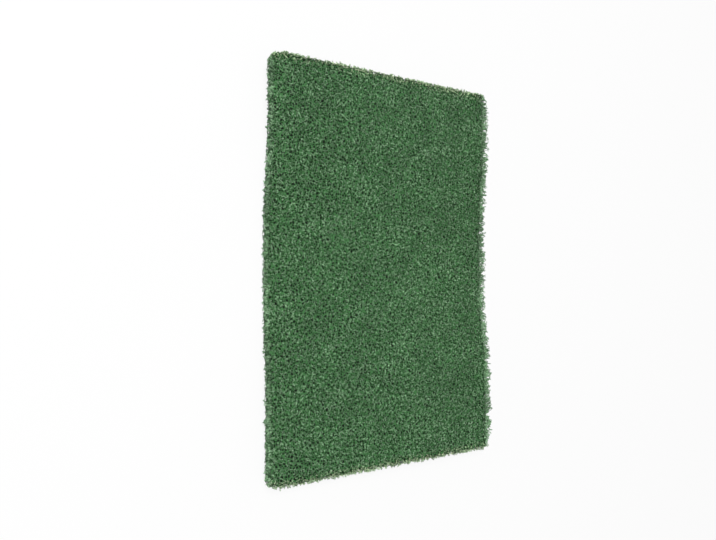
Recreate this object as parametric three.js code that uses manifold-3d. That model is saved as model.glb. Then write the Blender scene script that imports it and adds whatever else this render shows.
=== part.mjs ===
// A non-woven abrasive hand pad: one layer of crimped synthetic fibre, bonded with resin and grit
// and stamped out of a wide web. It lies face up on the ground. Its middle lies flat and its two
// ends have curled up a little, one corner of each end more than the other.
// Millimetres. X runs across the pad, Y along it and Z up; the origin is under its middle.
import * as THREE from 'three';
import { mergeVertices } from 'three/addons/utils/BufferGeometryUtils.js';
import Module from 'manifold-3d';

// Outline of the stamped pad
const padWidth = 152;
const padLength = 229;
const cornerRadius = 2.5;

// The web's thickness, and how far its top and bottom rims are rounded off at the cut edge
const webThickness = 8;
const rimRadius = 1.2;

// The curl: a flat stretch to lie on, then a rise that levels out before each end
const restLength = 36;
const restCentre = 5;
const curlReach = 55;
const curlRise = 4.3;
const cornerLean = 1.3;

// How finely the curved surfaces are divided
const rimSteps = 3;
const cornerSteps = 2;
const acrossSteps = 5;
const restSteps = 2;
const curlSteps = 7;
const arcSegments = 6;

// The web reaches this far past the stamped outline before it is cut
const cutMargin = 2;

const wasm = await Module();
wasm.setup();

function toSolid(geometry) {
  geometry.deleteAttribute('normal');
  geometry.deleteAttribute('uv');
  const merged = mergeVertices(geometry);
  return new wasm.Manifold(new wasm.Mesh({
    numProp: 3,
    vertProperties: new Float32Array(merged.attributes.position.array),
    triVerts: new Uint32Array(merged.index.array),
  }));
}

function toGeometry(solid) {
  const mesh = solid.getMesh();
  const geometry = new THREE.BufferGeometry();
  geometry.setAttribute('position', new THREE.BufferAttribute(mesh.vertProperties, 3));
  geometry.setIndex(new THREE.BufferAttribute(mesh.triVerts, 1));
  geometry.computeVertexNormals();
  return geometry;
}

function evenSteps(from, to, count) {
  return Array.from({ length: count }, (_, step) => from + (to - from) * step / count);
}

// Distances in from the cut edge where the rim and the corner need a row of points
function edgeDistances() {
  const rim = evenSteps(0, Math.PI / 2, rimSteps).map((angle) => rimRadius * (1 - Math.cos(angle)));
  return [-cutMargin, ...rim, ...evenSteps(rimRadius, cornerRadius, cornerSteps), cornerRadius];
}

// Rows of points from one cut edge to the other, with those given rows that lie between the edges' rows
function rowsAcross(size, between) {
  const low = edgeDistances().map((distance) => distance - size / 2);
  const high = low.map((place) => -place).reverse();
  const inner = between.filter((place) => Math.abs(place) < high[0]);
  return [...low, ...inner, ...high];
}

function acrossRows() {
  const start = cornerRadius - padWidth / 2;
  return rowsAcross(padWidth, evenSteps(start, -start, acrossSteps).slice(1));
}

function alongRows() {
  const restStart = restCentre - restLength / 2;
  const restEnd = restCentre + restLength / 2;
  return rowsAcross(padLength, [
    ...evenSteps(restStart - curlReach, restStart, curlSteps),
    ...evenSteps(restStart, restEnd, restSteps),
    ...evenSteps(restEnd, restEnd + curlReach, curlSteps),
    restEnd + curlReach,
  ]);
}

// How far the underside stands above the ground
function curlHeight(x, y) {
  const along = y - restCentre;
  const share = THREE.MathUtils.smoothstep(Math.abs(along), restLength / 2, restLength / 2 + curlReach);
  const lean = -Math.sign(along) * x / (padWidth / 2);
  return share * (curlRise + cornerLean * lean);
}

// Distance from a point inside the stamped outline to its edge
function distanceToEdge(x, y) {
  const overX = Math.abs(x) - (padWidth / 2 - cornerRadius);
  const overY = Math.abs(y) - (padLength / 2 - cornerRadius);
  const outside = Math.hypot(Math.max(overX, 0), Math.max(overY, 0));
  return cornerRadius - outside - Math.min(Math.max(overX, overY), 0);
}

// How much of the thickness the rounded rim takes away at each face
function rimDrop(x, y) {
  const inward = THREE.MathUtils.clamp(rimRadius - distanceToEdge(x, y), 0, rimRadius);
  return rimRadius - Math.sqrt(rimRadius ** 2 - inward ** 2);
}

// The web before stamping: a grid of points on both faces, set to its rows, its curl and its rim
function curledWeb() {
  const across = acrossRows();
  const along = alongRows();
  const web = new THREE.BoxGeometry(1, 1, 1, across.length - 1, along.length - 1, 1);
  const points = web.attributes.position;
  for (let index = 0; index < points.count; index += 1) {
    const x = across[Math.round((points.getX(index) + 0.5) * (across.length - 1))];
    const y = along[Math.round((points.getY(index) + 0.5) * (along.length - 1))];
    const drop = rimDrop(x, y);
    const height = points.getZ(index) > 0 ? webThickness - drop : drop;
    points.setXYZ(index, x, y, curlHeight(x, y) + height);
  }
  return toSolid(web);
}

// The stamp: a prism with the pad's outline, tall enough for the whole curl
function stamp() {
  const right = padWidth / 2 - cornerRadius;
  const back = padLength / 2 - cornerRadius;
  const outline = new THREE.Shape();
  outline.absarc(right, back, cornerRadius, 0, Math.PI / 2);
  outline.absarc(-right, back, cornerRadius, Math.PI / 2, Math.PI);
  outline.absarc(-right, -back, cornerRadius, Math.PI, 1.5 * Math.PI);
  outline.absarc(right, -back, cornerRadius, 1.5 * Math.PI, 2 * Math.PI);
  const height = webThickness + curlRise + Math.abs(cornerLean) + 2 * cutMargin;
  const prism = new THREE.ExtrudeGeometry(outline, {
    depth: height,
    bevelEnabled: false,
    curveSegments: arcSegments,
  });
  prism.translate(0, 0, -cutMargin);
  return toSolid(prism);
}

// Green fibre web, matt all over
const greenWeb = new THREE.MeshStandardMaterial({ color: 0x456645, roughness: 0.95, metalness: 0 });

const pad = new THREE.Mesh(toGeometry(curledWeb().intersect(stamp())), greenWeb);
pad.name = 'abrasive_pad';

const object = new THREE.Group();
object.add(pad);

export default object;
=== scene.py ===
import math

import bmesh
import bpy
import numpy as np
from mathutils import Matrix, Vector
from mathutils.bvhtree import BVHTree


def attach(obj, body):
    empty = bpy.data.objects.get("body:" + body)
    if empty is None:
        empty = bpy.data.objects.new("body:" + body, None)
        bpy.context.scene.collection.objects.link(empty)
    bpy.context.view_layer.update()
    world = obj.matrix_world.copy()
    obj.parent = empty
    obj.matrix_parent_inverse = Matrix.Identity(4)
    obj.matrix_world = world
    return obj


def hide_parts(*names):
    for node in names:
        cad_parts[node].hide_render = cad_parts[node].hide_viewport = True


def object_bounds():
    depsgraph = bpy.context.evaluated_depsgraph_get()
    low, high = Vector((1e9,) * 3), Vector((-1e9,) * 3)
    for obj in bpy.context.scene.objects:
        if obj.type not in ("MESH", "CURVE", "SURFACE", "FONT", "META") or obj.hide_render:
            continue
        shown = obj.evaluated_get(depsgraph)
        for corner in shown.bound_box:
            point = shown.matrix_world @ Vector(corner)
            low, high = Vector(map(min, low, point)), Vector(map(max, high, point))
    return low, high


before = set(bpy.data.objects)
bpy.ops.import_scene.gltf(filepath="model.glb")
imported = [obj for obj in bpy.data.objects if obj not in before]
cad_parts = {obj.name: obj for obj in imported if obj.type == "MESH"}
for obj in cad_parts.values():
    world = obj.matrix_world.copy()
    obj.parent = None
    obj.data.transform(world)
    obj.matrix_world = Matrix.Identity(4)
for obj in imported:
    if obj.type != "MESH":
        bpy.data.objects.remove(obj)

cad_low, cad_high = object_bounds()

# Camera
# It looks down on the lying pad from its left side and is rolled so that the pad's length is
# upright in the picture. Its place and lens come from a fit to the pad's four edges in the photo.
LENS_MM = 31.73
SENSOR_MM = 36
NEAREST_SEEN = 0.01
camera_place = Vector((-0.2160, -0.0023, 0.3108))
camera_forward = Vector((0.5440, 0.0063, -0.8391))
pad_lengthwise = Vector((0, 1, 0))
camera_data = bpy.data.cameras.new("camera")
camera_data.lens = LENS_MM
camera_data.sensor_width = SENSOR_MM
camera_data.clip_start = NEAREST_SEEN
camera = bpy.data.objects.new("camera", camera_data)
camera_right = camera_forward.cross(pad_lengthwise).normalized()
camera_up = camera_right.cross(camera_forward).normalized()
camera.matrix_world = Matrix((
    (camera_right.x, camera_up.x, -camera_forward.x, camera_place.x),
    (camera_right.y, camera_up.y, -camera_forward.y, camera_place.y),
    (camera_right.z, camera_up.z, -camera_forward.z, camera_place.z),
    (0, 0, 0, 1),
))
bpy.context.collection.objects.link(camera)
bpy.context.scene.camera = camera

# Heart of the web
# The inner layers of the same resin-coated nylon, seen only through the gaps between the fibres of
# the faces. It is a closed body a little inside the stamped outline, made from the frame's solid,
# with a lumpy skin.
MM = 0.001
MERGE_DISTANCE = 0.01 * MM
HEART_INSET_TOP = 1.25 * MM
HEART_INSET = 0.8 * MM
HEART_GRID = 1.8 * MM
WAVE_SPREAD = (0.7, 1.5)
LUMP_SEED = 11
LUMP_WAVES = 24
LUMP_LENGTH = 2.2 * MM
LUMP_HEIGHT = 0.3 * MM

# The strands in its material: their gaps and bends in millimetres, then the half width of a strand
# to its core and to its soft edge, as shares of a gap
INNER_STRAND_GAP = 1.5
INNER_STRAND_BEND = 1.6
INNER_BEND_LENGTH = 2.0
INNER_STRAND_CORE = 0.08
INNER_STRAND_EDGE = 0.14
INNER_STRAND_HEIGHT = 0.4 * MM
INNER_GREEN = "4f8450"
# Painted shade: the near black of the gaps between the strands, where the web lies deep
INNER_PAINTED_SHADE = "020c02"

# How far the two left corners are drawn in along the pad, and how far from them that is felt
TUCK_BACK = 2.2 * MM
TUCK_FRONT = 1.0 * MM
TUCK_ACROSS = 10 * MM
TUCK_ALONG = 25 * MM


def linear(code):
    """The linear colour of an sRGB hex value such as 1f2e3d."""
    channels = [int(code[place:place + 2], 16) / 255 for place in (0, 2, 4)]
    return [c / 12.92 if c <= 0.04045 else ((c + 0.055) / 1.055) ** 2.4 for c in channels] + [1]


def add_node(tree, kind, inputs=None, **settings):
    """A new node with its settings. An input takes a value, a socket, or a node's first output."""
    made = tree.nodes.new(kind)
    for name, value in settings.items():
        setattr(made, name, value)
    sockets = [socket for socket in made.inputs if socket.enabled]
    for key, value in (inputs or {}).items():
        socket = sockets[key] if isinstance(key, int) else next(s for s in sockets if s.name == key)
        if isinstance(value, bpy.types.Node):
            value = next(output for output in value.outputs if output.enabled)
        if isinstance(value, bpy.types.NodeSocket):
            tree.links.new(value, socket)
        else:
            socket.default_value = value
    return made


def new_material(name):
    """A material whose node tree is empty."""
    material = bpy.data.materials.new(name)
    material.use_nodes = True
    material.node_tree.nodes.clear()
    return material


def heart_material():
    """Resin-coated nylon web seen in its own shade: dull, with the strands of the next layers as
    green lines round gaps painted near black as shade. Its sizes are in millimetres."""
    material = new_material("cured_nylon_web_in_shade")
    tree = material.node_tree
    place = add_node(tree, "ShaderNodeTexCoord").outputs["Object"]
    in_mm = add_node(tree, "ShaderNodeVectorMath", {0: place, "Scale": 1 / MM}, operation="SCALE")
    bend = add_node(tree, "ShaderNodeTexNoise", {
        "Vector": in_mm, "Scale": 1 / INNER_BEND_LENGTH, "Detail": 1.0})
    shift = add_node(tree, "ShaderNodeVectorMath", {
        0: bend.outputs["Color"], "Scale": INNER_STRAND_BEND}, operation="SCALE")
    curled = add_node(tree, "ShaderNodeVectorMath", {0: in_mm, 1: shift}, operation="ADD")
    cells = add_node(tree, "ShaderNodeTexVoronoi", {
        "Vector": curled, "Scale": 1 / INNER_STRAND_GAP}, feature="DISTANCE_TO_EDGE")
    strand = add_node(tree, "ShaderNodeMapRange", {
        "Value": cells.outputs["Distance"], "From Min": INNER_STRAND_CORE,
        "From Max": INNER_STRAND_EDGE, "To Min": 1.0, "To Max": 0.0})
    colour = add_node(tree, "ShaderNodeMix", {
        0: strand, "A": linear(INNER_PAINTED_SHADE), "B": linear(INNER_GREEN)}, data_type="RGBA")
    bump = add_node(tree, "ShaderNodeBump", {
        "Height": strand, "Strength": 0.8, "Distance": INNER_STRAND_HEIGHT})
    surface = add_node(tree, "ShaderNodeBsdfPrincipled", {"Base Color": colour, "Normal": bump})
    surface.inputs["Roughness"].default_value = 0.8
    surface.inputs["Specular IOR Level"].default_value = 0.2
    add_node(tree, "ShaderNodeOutputMaterial", {"Surface": surface})
    return material


def make_object(name, mesh):
    """An object at the origin, unturned and unscaled."""
    made = bpy.data.objects.new(name, mesh)
    bpy.context.collection.objects.link(made)
    return made


def plain_mesh(made):
    """The object's evaluated mesh replaces its own, and its modifiers go."""
    graph = bpy.context.evaluated_depsgraph_get()
    mesh = bpy.data.meshes.new_from_object(made.evaluated_get(graph), depsgraph=graph)
    made.modifiers.clear()
    made.data = mesh
    mesh.name = made.name
    return mesh


def random_waves(random, where, length, count):
    """A smooth random field from about -1 to 1: plane waves of about one length, all directions."""
    directions = random.normal(size=(count, where.shape[-1]))
    directions /= np.linalg.norm(directions, axis=1, keepdims=True)
    rates = 2 * math.pi / (length * random.uniform(*WAVE_SPREAD, count))
    phases = random.uniform(0, 2 * math.pi, count)
    return np.sin(where @ directions.T * rates + phases).sum(axis=-1) / math.sqrt(count)


def tucked(places):
    """Places on the web as cut: its two left corners are drawn in a little along its length."""
    left = np.clip(1 - (places[..., 0] - cad_low.x) / TUCK_ACROSS, 0, 1) ** 2
    back = np.clip(1 - (cad_high.y - places[..., 1]) / TUCK_ALONG, 0, 1)
    front = np.clip(1 - (places[..., 1] - cad_low.y) / TUCK_ALONG, 0, 1)
    moved = places.copy()
    moved[..., 1] += left * (TUCK_FRONT * front - TUCK_BACK * back)
    return moved


pad_form = bmesh.new()
pad_form.from_mesh(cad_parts["abrasive_pad"].data)
bmesh.ops.remove_doubles(pad_form, verts=pad_form.verts, dist=MERGE_DISTANCE)
pad_tree = BVHTree.FromBMesh(pad_form)
heart_mesh = bpy.data.meshes.new("web_heart")
pad_form.to_mesh(heart_mesh)
pad_form.free()
heart = make_object("web_heart", heart_mesh)
remesh = heart.modifiers.new("grid", "REMESH")
remesh.mode = "VOXEL"
remesh.voxel_size = HEART_GRID
heart_mesh = plain_mesh(heart)

heart_points = np.empty(len(heart_mesh.vertices) * 3)
heart_normals = np.empty_like(heart_points)
heart_mesh.vertices.foreach_get("co", heart_points)
heart_mesh.vertices.foreach_get("normal", heart_normals)
heart_points = heart_points.reshape(-1, 3)
heart_normals = heart_normals.reshape(-1, 3)
lumps = random_waves(np.random.default_rng(LUMP_SEED), heart_points, LUMP_LENGTH, LUMP_WAVES)
upward = np.maximum(heart_normals[:, 2], 0)
inset = HEART_INSET + (HEART_INSET_TOP - HEART_INSET) * upward
heart_points += heart_normals * (LUMP_HEIGHT * lumps - inset)[:, None]
heart_mesh.vertices.foreach_set("co", tucked(heart_points).ravel())
heart_mesh.polygons.foreach_set("use_smooth", [True] * len(heart_mesh.polygons))
heart_mesh.materials.clear()
heart_mesh.materials.append(heart_material())
heart_mesh.update()
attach(heart, "root")
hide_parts("abrasive_pad")

# Fibres of the two faces
# Crimped nylon staple laid flat in every direction, layer on layer, bonded where it crosses and cut
# at the outline. Each strand here is one stretch between two dives under others. Real fibres are
# about 0.1 mm thick with their resin; they are drawn coarser, so that they show.
UPPER_COUNT = 5150
LOWER_COUNT = 3200

# One fibre: its thickness and length, its crimp, and the resin that lies thicker in some places
FIBRE_DIAMETER = 0.36 * MM
THINNEST = 0.75
THICKEST = 1.2
FIBRE_SIDES = 3
FIBRE_STEP = 0.55 * MM
FIBRE_POINTS = 7
CRIMP_LENGTH = 1.5 * MM
CRIMP_SPREAD = (0.7, 1.7)
CRIMP_WAVES = 3
CRIMP_SWING = 1.9
CRIMP_HEIGHT = 0.30 * MM
RESIN_SPREAD = 0.25
RESIN_SPACING = 1.5 * MM

# How the fibres lie in the web: how evenly, how far past the outline, above the face and in waves
LAY_JITTER = 0.4
LAY_TURN = math.radians(23)
STRAY = 0.5 * MM
PROUDEST = 0.15 * MM
SAG_SEED = 5
SAG_WAVES = 12
SAG_LENGTH = 22 * MM
SAG_HEIGHT = 0.12 * MM

# Where painted shade makes them darker, downwards, and where they grow more olive, towards the two ends
PAINTED_SHADE_DEPTH = 1.5 * MM
CUT_REACH = 5.0 * MM

# Their material. The first three are lengths in millimetres. Nearly all of a noise texture lies
# between the noise values, and the lights multiply the fibre's colour.
CLOUD_LENGTH = 16
RESIN_LUMP = 0.6
GRIT_SIZE = 0.25
GRIT_HEIGHT = 0.08 * MM
NOISE_LOW = 0.3
NOISE_MIDDLE = 0.5
NOISE_HIGH = 0.7
DARK_CLOUD_LIGHT = 0.74
PALE_CLOUD_LIGHT = 1.26
THIN_RESIN_LIGHT = 0.1
THICK_RESIN_LIGHT = 1.32
RESIN_IOR = 1.53
RESIN_GREEN = "7dab7b"
PALE_GREEN = "aed6ab"
CUT_OLIVE = "f0ffd0"
# Painted shade: the dark green that fibres are mixed towards the deeper they lie
PAINTED_SHADE_GREEN = "1f4f20"

# The outline, and the lowest centre line whose fibre still clears the floor
CORNER_RADIUS = 2.5 * MM
RAY_INSET = 0.05 * MM
LOWEST_LINE = FIBRE_DIAMETER / 2 * THICKEST * (1 + RESIN_SPREAD)
half_size = np.array([cad_high.x - cad_low.x, cad_high.y - cad_low.y]) / 2


def crimp(random, count, points_each, step):
    """Each strand's crimp along its length: a few sine waves of about the crimp's length."""
    along = np.arange(points_each) * step
    periods = CRIMP_LENGTH * random.uniform(*CRIMP_SPREAD, (count, CRIMP_WAVES, 1))
    phases = random.uniform(0, 2 * math.pi, (count, CRIMP_WAVES, 1))
    return np.sin(2 * math.pi * along / periods + phases).sum(axis=1) / math.sqrt(CRIMP_WAVES)


def even_spread(random, count, size, turn):
    """About count places that fill a rectangle evenly, but not in its own rows, as a card lays its
    fibres: the points of a turned grid, each moved a little."""
    spacing = math.sqrt(size[0] * size[1] / count)
    steps = np.arange(-math.hypot(*size) / 2, math.hypot(*size) / 2, spacing)
    grid = np.stack(np.meshgrid(steps, steps), axis=-1).reshape(-1, 2)
    grid += spacing * random.uniform(-LAY_JITTER, LAY_JITTER, grid.shape)
    across = grid[:, 0] * math.cos(turn) - grid[:, 1] * math.sin(turn) + size[0] / 2
    along = grid[:, 0] * math.sin(turn) + grid[:, 1] * math.cos(turn) + size[1] / 2
    inside = (across > 0) & (across < size[0]) & (along > 0) & (along < size[1])
    return np.stack([across, along], axis=1)[inside]


def curled_strands(random, middles):
    """Centre lines in a plane: strands that turn this way and that with their crimp."""
    count = len(middles)
    headings = random.uniform(0, 2 * math.pi, (count, 1))
    headings = headings + CRIMP_SWING * crimp(random, count, FIBRE_POINTS, FIBRE_STEP)
    walk = np.cumsum(FIBRE_STEP * np.stack([np.cos(headings), np.sin(headings)], axis=-1), axis=1)
    return middles[:, None, :] + walk - walk.mean(axis=1, keepdims=True)


def outside_outline(places):
    """How far places lie outside the stamped outline; negative inside it."""
    over = np.abs(places) - (half_size - CORNER_RADIUS)
    return (np.linalg.norm(np.maximum(over, 0), axis=-1)
            + np.minimum(over.max(axis=-1), 0) - CORNER_RADIUS)


def face_height(places, side):
    """Height of the solid's upper (side 1) or lower (side -1) face, carried on past its outline.
    A ray from a metre above or below the ground finds it."""
    core = half_size - CORNER_RADIUS
    flat = places.reshape(-1, 2)
    over = np.maximum(np.abs(flat) - core, 0)
    far = np.maximum(np.linalg.norm(over, axis=1, keepdims=True), RAY_INSET)
    pulled = over * np.minimum(1, (CORNER_RADIUS - RAY_INSET) / far)
    inner = np.sign(flat) * (np.minimum(np.abs(flat), core) + pulled)
    ray = Vector((0, 0, -side))
    heights = [pad_tree.ray_cast(Vector((x, y, side)), ray)[0].z for x, y in inner]
    return np.array(heights).reshape(places.shape[:-1])


def fibre_tree():
    """Geometry nodes that draw each centre line as one fibre of resin-coated nylon."""
    tree = bpy.data.node_groups.new("fibres", "GeometryNodeTree")
    face = tree.interface
    face.new_socket("Centre lines", in_out="INPUT", socket_type="NodeSocketGeometry")
    face.new_socket("Fibre diameter", in_out="INPUT", socket_type="NodeSocketFloat")
    face.new_socket("Sides", in_out="INPUT", socket_type="NodeSocketInt")
    face.new_socket("Resin spread", in_out="INPUT", socket_type="NodeSocketFloat")
    face.new_socket("Resin spacing", in_out="INPUT", socket_type="NodeSocketFloat")
    face.new_socket("Finish", in_out="INPUT", socket_type="NodeSocketMaterial")
    face.new_socket("Fibres", in_out="OUTPUT", socket_type="NodeSocketGeometry")
    given = add_node(tree, "NodeGroupInput").outputs
    lines = add_node(tree, "GeometryNodeMeshToCurve", {"Mesh": given["Centre lines"]})
    place = add_node(tree, "GeometryNodeInputPosition")
    rate = add_node(tree, "ShaderNodeMath", {0: 1.0, 1: given["Resin spacing"]}, operation="DIVIDE")
    drops = add_node(tree, "ShaderNodeTexNoise", {"Vector": place, "Scale": rate, "Detail": 0.0})
    least = add_node(tree, "ShaderNodeMath", {0: 1.0, 1: given["Resin spread"]}, operation="SUBTRACT")
    most = add_node(tree, "ShaderNodeMath", {0: 1.0, 1: given["Resin spread"]}, operation="ADD")
    resin = add_node(tree, "ShaderNodeMapRange", {
        "Value": drops, "From Min": NOISE_LOW, "From Max": NOISE_HIGH, "To Min": least, "To Max": most})
    girth = add_node(tree, "GeometryNodeInputNamedAttribute", {"Name": "girth"}, data_type="FLOAT")
    thickness = add_node(tree, "ShaderNodeMath", {0: resin, 1: girth}, operation="MULTIPLY")
    radius = add_node(tree, "ShaderNodeMath", {0: given["Fibre diameter"], 1: 2.0}, operation="DIVIDE")
    section = add_node(tree, "GeometryNodeCurvePrimitiveCircle", {
        "Resolution": given["Sides"], "Radius": radius})
    tubes = add_node(tree, "GeometryNodeCurveToMesh", {
        "Curve": lines, "Profile Curve": section, "Scale": thickness, "Fill Caps": True})
    smooth = add_node(tree, "GeometryNodeSetShadeSmooth", {"Geometry": tubes})
    real = add_node(tree, "GeometryNodeRealizeInstances", {"Geometry": smooth})
    finished = add_node(tree, "GeometryNodeSetMaterial", {"Geometry": real, "Material": given["Finish"]})
    add_node(tree, "NodeGroupOutput", {"Fibres": finished})
    return tree


def fibre_material():
    """Nylon fibre in a coat of green phenolic resin and fine grit: matt, slightly glossy on the crests,
    lighter where resin lies thick, darker with painted shade where it lies deep, and more olive at
    the cut. Its sizes are in millimetres, and the lumps of resin and the grit are drawn coarser than
    they are, so that they show."""
    material = new_material("resin_coated_nylon_fibre")
    tree = material.node_tree
    tone = add_node(tree, "ShaderNodeAttribute", attribute_name="tone").outputs["Fac"]
    depth = add_node(tree, "ShaderNodeAttribute", attribute_name="depth").outputs["Fac"]
    cut = add_node(tree, "ShaderNodeAttribute", attribute_name="cut").outputs["Fac"]
    place = add_node(tree, "ShaderNodeTexCoord").outputs["Object"]
    in_mm = add_node(tree, "ShaderNodeVectorMath", {0: place, "Scale": 1 / MM}, operation="SCALE")
    crest = add_node(tree, "ShaderNodeMix", {
        0: tone, "A": linear(RESIN_GREEN), "B": linear(PALE_GREEN)}, data_type="RGBA")
    cured = add_node(tree, "ShaderNodeMix", {
        0: cut, "A": crest, "B": linear(CUT_OLIVE)}, data_type="RGBA")
    # Painted shade: the deeper a fibre lies, the more it is mixed towards a dark green
    shaded = add_node(tree, "ShaderNodeMix", {
        0: depth, "A": cured, "B": linear(PAINTED_SHADE_GREEN)}, data_type="RGBA")
    clouds = add_node(tree, "ShaderNodeTexNoise", {
        "Vector": in_mm, "Scale": 1 / CLOUD_LENGTH, "Detail": 2.0})
    cloud = add_node(tree, "ShaderNodeMapRange", {
        "Value": clouds, "From Min": NOISE_LOW, "From Max": NOISE_HIGH,
        "To Min": DARK_CLOUD_LIGHT, "To Max": PALE_CLOUD_LIGHT})
    lumps = add_node(tree, "ShaderNodeTexNoise", {
        "Vector": in_mm, "Scale": 1 / RESIN_LUMP, "Detail": 0.0})
    lump = add_node(tree, "ShaderNodeMapRange", {
        "Value": lumps, "From Min": NOISE_LOW, "From Max": NOISE_MIDDLE,
        "To Min": THIN_RESIN_LIGHT, "To Max": THICK_RESIN_LIGHT})
    coat = add_node(tree, "ShaderNodeMath", {0: cloud, 1: lump}, operation="MULTIPLY")
    colour = add_node(tree, "ShaderNodeVectorMath", {0: shaded, "Scale": coat}, operation="SCALE")
    grit = add_node(tree, "ShaderNodeTexNoise", {"Vector": in_mm, "Scale": 1 / GRIT_SIZE, "Detail": 1.0})
    bump = add_node(tree, "ShaderNodeBump", {
        "Height": grit, "Strength": 0.5, "Distance": GRIT_HEIGHT})
    rough = add_node(tree, "ShaderNodeMapRange", {
        "Value": grit, "From Min": NOISE_LOW, "From Max": NOISE_HIGH, "To Min": 0.5, "To Max": 0.75})
    surface = add_node(tree, "ShaderNodeBsdfPrincipled", {
        "Base Color": colour, "Roughness": rough, "Normal": bump})
    surface.inputs["IOR"].default_value = RESIN_IOR
    add_node(tree, "ShaderNodeOutputMaterial", {"Surface": surface})
    return material


fibre_nodes = fibre_tree()
fibre_finish = fibre_material()


def make_fibres(name, lines, keep, marks):
    """Draws centre lines as fibres. lines is an array of strands of points, keep says which points
    are left after the cut, and marks holds each point's girth, tone, depth and cut."""
    pairs = keep[:, :-1] & keep[:, 1:]
    index = np.arange(keep.size).reshape(keep.shape)
    edges = np.stack([index[:, :-1][pairs], index[:, 1:][pairs]], axis=1)
    used, renamed = np.unique(edges, return_inverse=True)
    mesh = bpy.data.meshes.new(name)
    mesh.vertices.add(len(used))
    mesh.vertices.foreach_set("co", tucked(lines.reshape(-1, 3)[used]).ravel())
    mesh.edges.add(len(edges))
    mesh.edges.foreach_set("vertices", renamed.astype(np.int32).ravel())
    for mark, values in marks.items():
        attribute = mesh.attributes.new(mark, "FLOAT", "POINT")
        attribute.data.foreach_set("value", np.broadcast_to(values, keep.shape).reshape(-1)[used])
    made = make_object(name, mesh)
    sweep = made.modifiers.new("fibres", "NODES")
    sweep.node_group = fibre_nodes
    sizes = {"Fibre diameter": FIBRE_DIAMETER, "Sides": FIBRE_SIDES, "Resin spread": RESIN_SPREAD,
             "Resin spacing": RESIN_SPACING, "Finish": fibre_finish}
    for socket in fibre_nodes.interface.items_tree:
        if socket.name in sizes:
            sweep[socket.identifier] = sizes[socket.name]
    plain_mesh(made)
    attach(made, "root")


def face_fibres(name, seed, side, count, shallow, deep):
    """Fibres of one layer of a face, whose mean depths run from shallow to deep."""
    random = np.random.default_rng(seed)
    margin = FIBRE_POINTS * FIBRE_STEP / 4
    reach = half_size + margin
    flat = curled_strands(random, even_spread(random, count, 2 * reach, seed * LAY_TURN) - reach)
    count = len(flat)
    outside = outside_outline(flat)
    keep = outside < STRAY * random.uniform(0, 1, (count, 1)) ** 2
    lift = CRIMP_HEIGHT * crimp(random, count, FIBRE_POINTS, FIBRE_STEP)
    sag = SAG_HEIGHT * random_waves(np.random.default_rng(SAG_SEED), flat, SAG_LENGTH, SAG_WAVES)
    depth = random.uniform(shallow, deep, (count, 1)) + lift + sag
    depth = np.maximum(depth, -PROUDEST) + FIBRE_DIAMETER / 2
    height = np.maximum(face_height(flat, side) - side * depth, LOWEST_LINE)
    lines = np.concatenate([flat, height[..., None]], axis=-1)
    marks = {
        "girth": random.uniform(THINNEST, THICKEST, (count, 1)),
        "tone": random.uniform(0, 1, (count, 1)),
        "depth": np.clip(depth / PAINTED_SHADE_DEPTH, 0, 1),
        "cut": np.clip(1 + (np.abs(flat[..., 1]) - half_size[1]) / CUT_REACH, 0, 1),
    }
    make_fibres(name, lines, keep, marks)


face_fibres("upper_fibres_deep", seed=21, side=1, count=UPPER_COUNT, shallow=0.8 * MM, deep=1.3 * MM)
face_fibres("upper_fibres_middle", seed=22, side=1, count=UPPER_COUNT, shallow=0.35 * MM, deep=0.9 * MM)
face_fibres("upper_fibres_outer", seed=23, side=1, count=UPPER_COUNT, shallow=0, deep=0.45 * MM)
face_fibres("lower_fibres", seed=24, side=-1, count=LOWER_COUNT, shallow=0, deep=0.9 * MM)

# Fibres of the cut walls
# Where the rule went through the web, its layers show edge on: short stretches of fibre, crimped
# like the rest, through the whole thickness. The two ends look more olive than the sides, and all of
# the wall is darkened with painted shade.
WALL_COUNT = 3700
WALL_DEPTH = 0.9 * MM
WALL_MARGIN = 0.3 * MM
# Painted shade: the share by which wall fibres are drawn darker, towards the dark green
WALL_PAINTED_SHADE = 0.55
CUT_END = 0.36
CORNER_POINTS = 12
RIM_RADIUS = 1.2 * MM

# The height of the wall's foot is read this share of the way in, past the rounded rim
RIM_PULL = 0.025


def outline_line():
    """Points round the stamped outline with their outward normals and distances along it."""
    quarter = np.linspace(0, math.pi / 2, CORNER_POINTS)
    angles = np.concatenate([quarter + turn * math.pi / 2 for turn in range(4)])
    signs = np.repeat(np.array([(1, 1), (-1, 1), (-1, -1), (1, -1)]), CORNER_POINTS, axis=0)
    normals = np.stack([np.cos(angles), np.sin(angles)], axis=1)
    places = signs * (half_size - CORNER_RADIUS) + normals * CORNER_RADIUS
    places = np.vstack([places, places[:1]])
    normals = np.vstack([normals, normals[:1]])
    lengths = np.concatenate([[0], np.cumsum(np.linalg.norm(np.diff(places, axis=0), axis=1))])
    return places, normals, lengths


outline_places, outline_normals, outline_lengths = outline_line()
rest_middle = np.array([[0.0, 0.0]])
pad_thickness = (face_height(rest_middle, 1) - face_height(rest_middle, -1))[0]


def on_outline(distance):
    """Place and outward normal at a distance round the stamped outline."""
    turn = distance % outline_lengths[-1]
    place = [np.interp(turn, outline_lengths, outline_places[:, axis]) for axis in (0, 1)]
    normal = [np.interp(turn, outline_lengths, outline_normals[:, axis]) for axis in (0, 1)]
    return np.stack(place, axis=-1), np.stack(normal, axis=-1)


def within_wall(height):
    """Folds heights back into the wall, clear of its two rims."""
    room = pad_thickness - 2 * WALL_MARGIN
    return WALL_MARGIN + np.abs((height - WALL_MARGIN + room) % (2 * room) - room)


def rim_inset(height):
    """How far the rounded rims stand back from the wall at a height."""
    near = np.clip(1 - np.minimum(height, pad_thickness - height) / RIM_RADIUS, 0, 1)
    return RIM_RADIUS * (1 - np.sqrt(1 - near ** 2))


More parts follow.
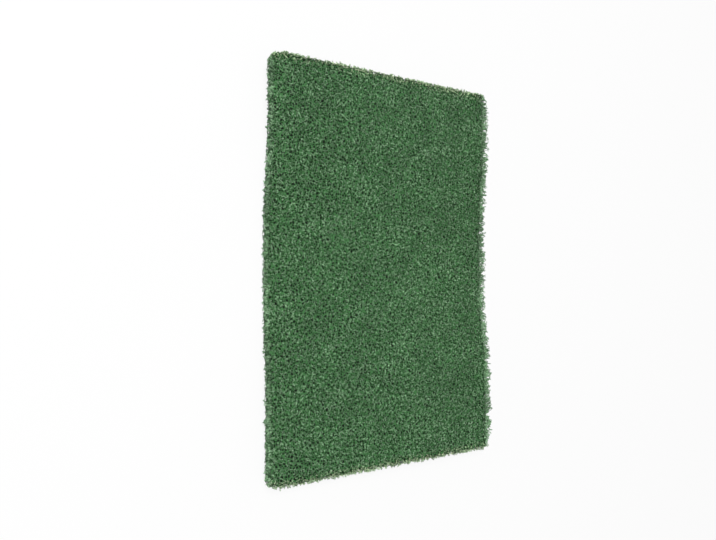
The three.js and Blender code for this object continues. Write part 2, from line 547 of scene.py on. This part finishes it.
def wall_fibres(name, seed):
    """Fibres laid on the wall as if it were one straight strip, then wrapped round the outline."""
    random = np.random.default_rng(seed)
    wall_size = [outline_lengths[-1], pad_thickness]
    unrolled = curled_strands(random, even_spread(random, WALL_COUNT, wall_size, seed * LAY_TURN))
    count = len(unrolled)
    height = within_wall(unrolled[..., 1])
    place, normal = on_outline(unrolled[..., 0])
    lift = CRIMP_HEIGHT * crimp(random, count, FIBRE_POINTS, FIBRE_STEP)
    depth = np.maximum(random.uniform(0, WALL_DEPTH, (count, 1)) + lift, 0) + FIBRE_DIAMETER / 2
    place = place - normal * (depth + rim_inset(height))[..., None]
    base = face_height(place * (1 - RIM_PULL), -1)
    lines = np.concatenate([place, np.maximum(base + height, LOWEST_LINE)[..., None]], axis=-1)
    marks = {
        "girth": random.uniform(THINNEST, THICKEST, (count, 1)),
        "tone": random.uniform(0, 1, (count, 1)),
        "depth": np.clip(WALL_PAINTED_SHADE + depth / PAINTED_SHADE_DEPTH, 0, 1),
        "cut": CUT_END * np.abs(normal[..., 1]),
    }
    make_fibres(name, lines, np.ones(height.shape, bool), marks)


wall_fibres("cut_wall_fibres", seed=31)

# Loose ends
# Short crimped ends and loops of the same nylon that the cut left sticking out of the walls. They
# are longest and closest on the right, short on the left and in front, barely there at the back,
# and closer near the upper rim. They are drawn thicker than the rest, so that they show, and darker
# with painted shade.
END_COUNT = 2400
END_POINTS = 7
END_GIRTH = 1.6
# Painted shade: the share by which loose ends are drawn darker, towards the dark green
END_PAINTED_SHADE = 0.35

# Where they stand: how deep their roots are and how clear of the rims, how far above the upper
# face an end may rise, and how much closer they are set on the right and towards the top
END_ROOT = 0.8 * MM
END_RIM = 0.4 * MM
END_PROUD = 0.2 * MM
END_STATIONS = 1000
END_CROWD_RIGHT = 2.0
END_CROWD_UP = 0.5

# How far the longest reach past each wall, the share of that for the shortest, and the stretch at
# either end of the right side in which they grow shorter
END_REACH_RIGHT = 3.6 * MM
END_REACH_LEFT = 0.4 * MM
END_REACH_FRONT = 0.8 * MM
END_REACH_BACK = 0.1 * MM
END_SHORTEST = 0.1
END_FADE = 10 * MM

# Their form: the share that are loops, and how they lean along the wall, rise and curl
END_LOOPS = 0.75
LOOP_ROUNDNESS = 0.5
END_LEAN = 0.6
END_RISE = 0.25
END_CRIMP = 0.5 * MM


def loose_ends(name, seed):
    """Ends and loops rooted just inside the wall, each with its own reach, lean and rise."""
    random = np.random.default_rng(seed)
    stations = np.linspace(0, outline_lengths[-1], END_STATIONS)
    crowd = 1 + END_CROWD_RIGHT * np.maximum(on_outline(stations)[1][:, 0], 0)
    shares = np.cumsum(crowd) / crowd.sum()
    spread = even_spread(random, END_COUNT, [1, 1], seed * LAY_TURN)
    count = len(spread)
    root_height = END_RIM + (pad_thickness - 2 * END_RIM) * spread[:, 1:] ** END_CROWD_UP
    place, normal = on_outline(np.interp(spread[:, 0], shares, stations))
    tangent = np.stack([-normal[:, 1], normal[:, 0]], axis=-1)
    to_right = np.maximum(normal[:, :1], 0) * np.clip(
        (half_size[1] - np.abs(place[:, 1:])) / END_FADE, 0, 1)
    to_left = np.maximum(-normal[:, :1], 0)
    to_front = np.maximum(-normal[:, 1:], 0)
    most = (END_REACH_BACK + (END_REACH_RIGHT - END_REACH_BACK) * to_right
            + (END_REACH_LEFT - END_REACH_BACK) * to_left
            + (END_REACH_FRONT - END_REACH_BACK) * to_front)
    reach = most * random.uniform(END_SHORTEST, 1, (count, 1)) + END_ROOT
    share = np.linspace(0, 1, END_POINTS)
    loop = random.uniform(0, 1, (count, 1)) < END_LOOPS
    lean = reach * random.normal(0, END_LEAN, (count, 1))
    rise = reach * random.normal(0, END_RISE, (count, 1))
    wobble = END_CRIMP * np.stack([crimp(random, count, END_POINTS, FIBRE_STEP) for _ in range(3)])
    arch = np.maximum(np.sin(math.pi * share), 0) ** LOOP_ROUNDNESS
    out = reach * np.where(loop, arch, share) + wobble[0]
    flat = (place[:, None] + normal[:, None] * (out - END_ROOT)[..., None]
            + tangent[:, None] * (lean * share + wobble[1])[..., None])
    in_wall = root_height + rise * share + wobble[2]
    in_wall = np.clip(in_wall, END_RIM, pad_thickness + END_PROUD)
    height = in_wall + face_height(flat * (1 - RIM_PULL), -1)
    lines = np.concatenate([flat, np.maximum(height, LOWEST_LINE)[..., None]], axis=-1)
    marks = {
        "girth": END_GIRTH * random.uniform(THINNEST, THICKEST, (count, 1)),
        "tone": random.uniform(0, 1, (count, 1)),
        "depth": np.full((count, 1), END_PAINTED_SHADE),
        "cut": CUT_END * np.abs(normal[:, 1:]),
    }
    make_fibres(name, lines, np.ones(height.shape, bool), marks)


loose_ends("loose_ends", seed=41)

# Floor and light
# A plain sheet of white paper that keeps the pad's soft shadow, one large soft lamp and an even
# surround. Paper and surround look brighter to the camera than the light that they give the pad.
FLOOR_SIZE = 6
FLOOR_WHITE = 0.85
PAPER_WHITE = "f2f2f2"
PURE_WHITE = "ffffff"
SKY_WHITE = 0.91
SURROUND_LIGHT = 0.35
LAMP_SIZE = 0.9
LAMP_POWER = 26
LAMP_PLACE = Vector((-0.7, 0.5, 1.5))
floor_mesh = bpy.data.meshes.new("floor")
corner = FLOOR_SIZE / 2
floor_mesh.from_pydata(
    [(-corner, -corner, 0), (corner, -corner, 0), (corner, corner, 0), (-corner, corner, 0)],
    [], [(0, 1, 2, 3)])
floor = make_object("floor", floor_mesh)


def seen_directly(tree):
    """1 for rays that reach a surface from the camera, a reflection or a clear piece, else 0."""
    path = add_node(tree, "ShaderNodeLightPath").outputs
    either = add_node(tree, "ShaderNodeMath", {
        0: path["Is Camera Ray"], 1: path["Is Glossy Ray"]}, operation="MAXIMUM")
    return add_node(tree, "ShaderNodeMath", {
        0: either, 1: path["Is Transmission Ray"]}, operation="MAXIMUM")


paper = new_material("white_studio_paper")
paper_tree = paper.node_tree
glow_share = add_node(paper_tree, "ShaderNodeMath", {
    0: seen_directly(paper_tree), 1: FLOOR_WHITE}, operation="MULTIPLY")
matt = add_node(paper_tree, "ShaderNodeBsdfDiffuse", {"Color": linear(PAPER_WHITE)})
glow = add_node(paper_tree, "ShaderNodeEmission", {"Color": linear(PURE_WHITE), "Strength": 1.0})
mixed = add_node(paper_tree, "ShaderNodeMixShader", {0: glow_share, 1: matt, 2: glow})
add_node(paper_tree, "ShaderNodeOutputMaterial", {"Surface": mixed})
floor_mesh.materials.append(paper)

surround = bpy.data.worlds.new("surround")
surround.use_nodes = True
surround.node_tree.nodes.clear()
level = add_node(surround.node_tree, "ShaderNodeMapRange", {
    "Value": seen_directly(surround.node_tree), "To Min": SURROUND_LIGHT, "To Max": SKY_WHITE})
sky = add_node(surround.node_tree, "ShaderNodeBackground", {
    "Color": linear(PURE_WHITE), "Strength": level})
add_node(surround.node_tree, "ShaderNodeOutputWorld", {"Surface": sky})
bpy.context.scene.world = surround

lamp_data = bpy.data.lights.new("softbox", "AREA")
lamp_data.shape = "SQUARE"
lamp_data.size = LAMP_SIZE
lamp_data.energy = LAMP_POWER
lamp = bpy.data.objects.new("softbox", lamp_data)
lamp.location = LAMP_PLACE
lamp.rotation_euler = (-LAMP_PLACE).to_track_quat("-Z", "Y").to_euler()
bpy.context.collection.objects.link(lamp)

bpy.context.scene.view_settings.view_transform = "Standard"
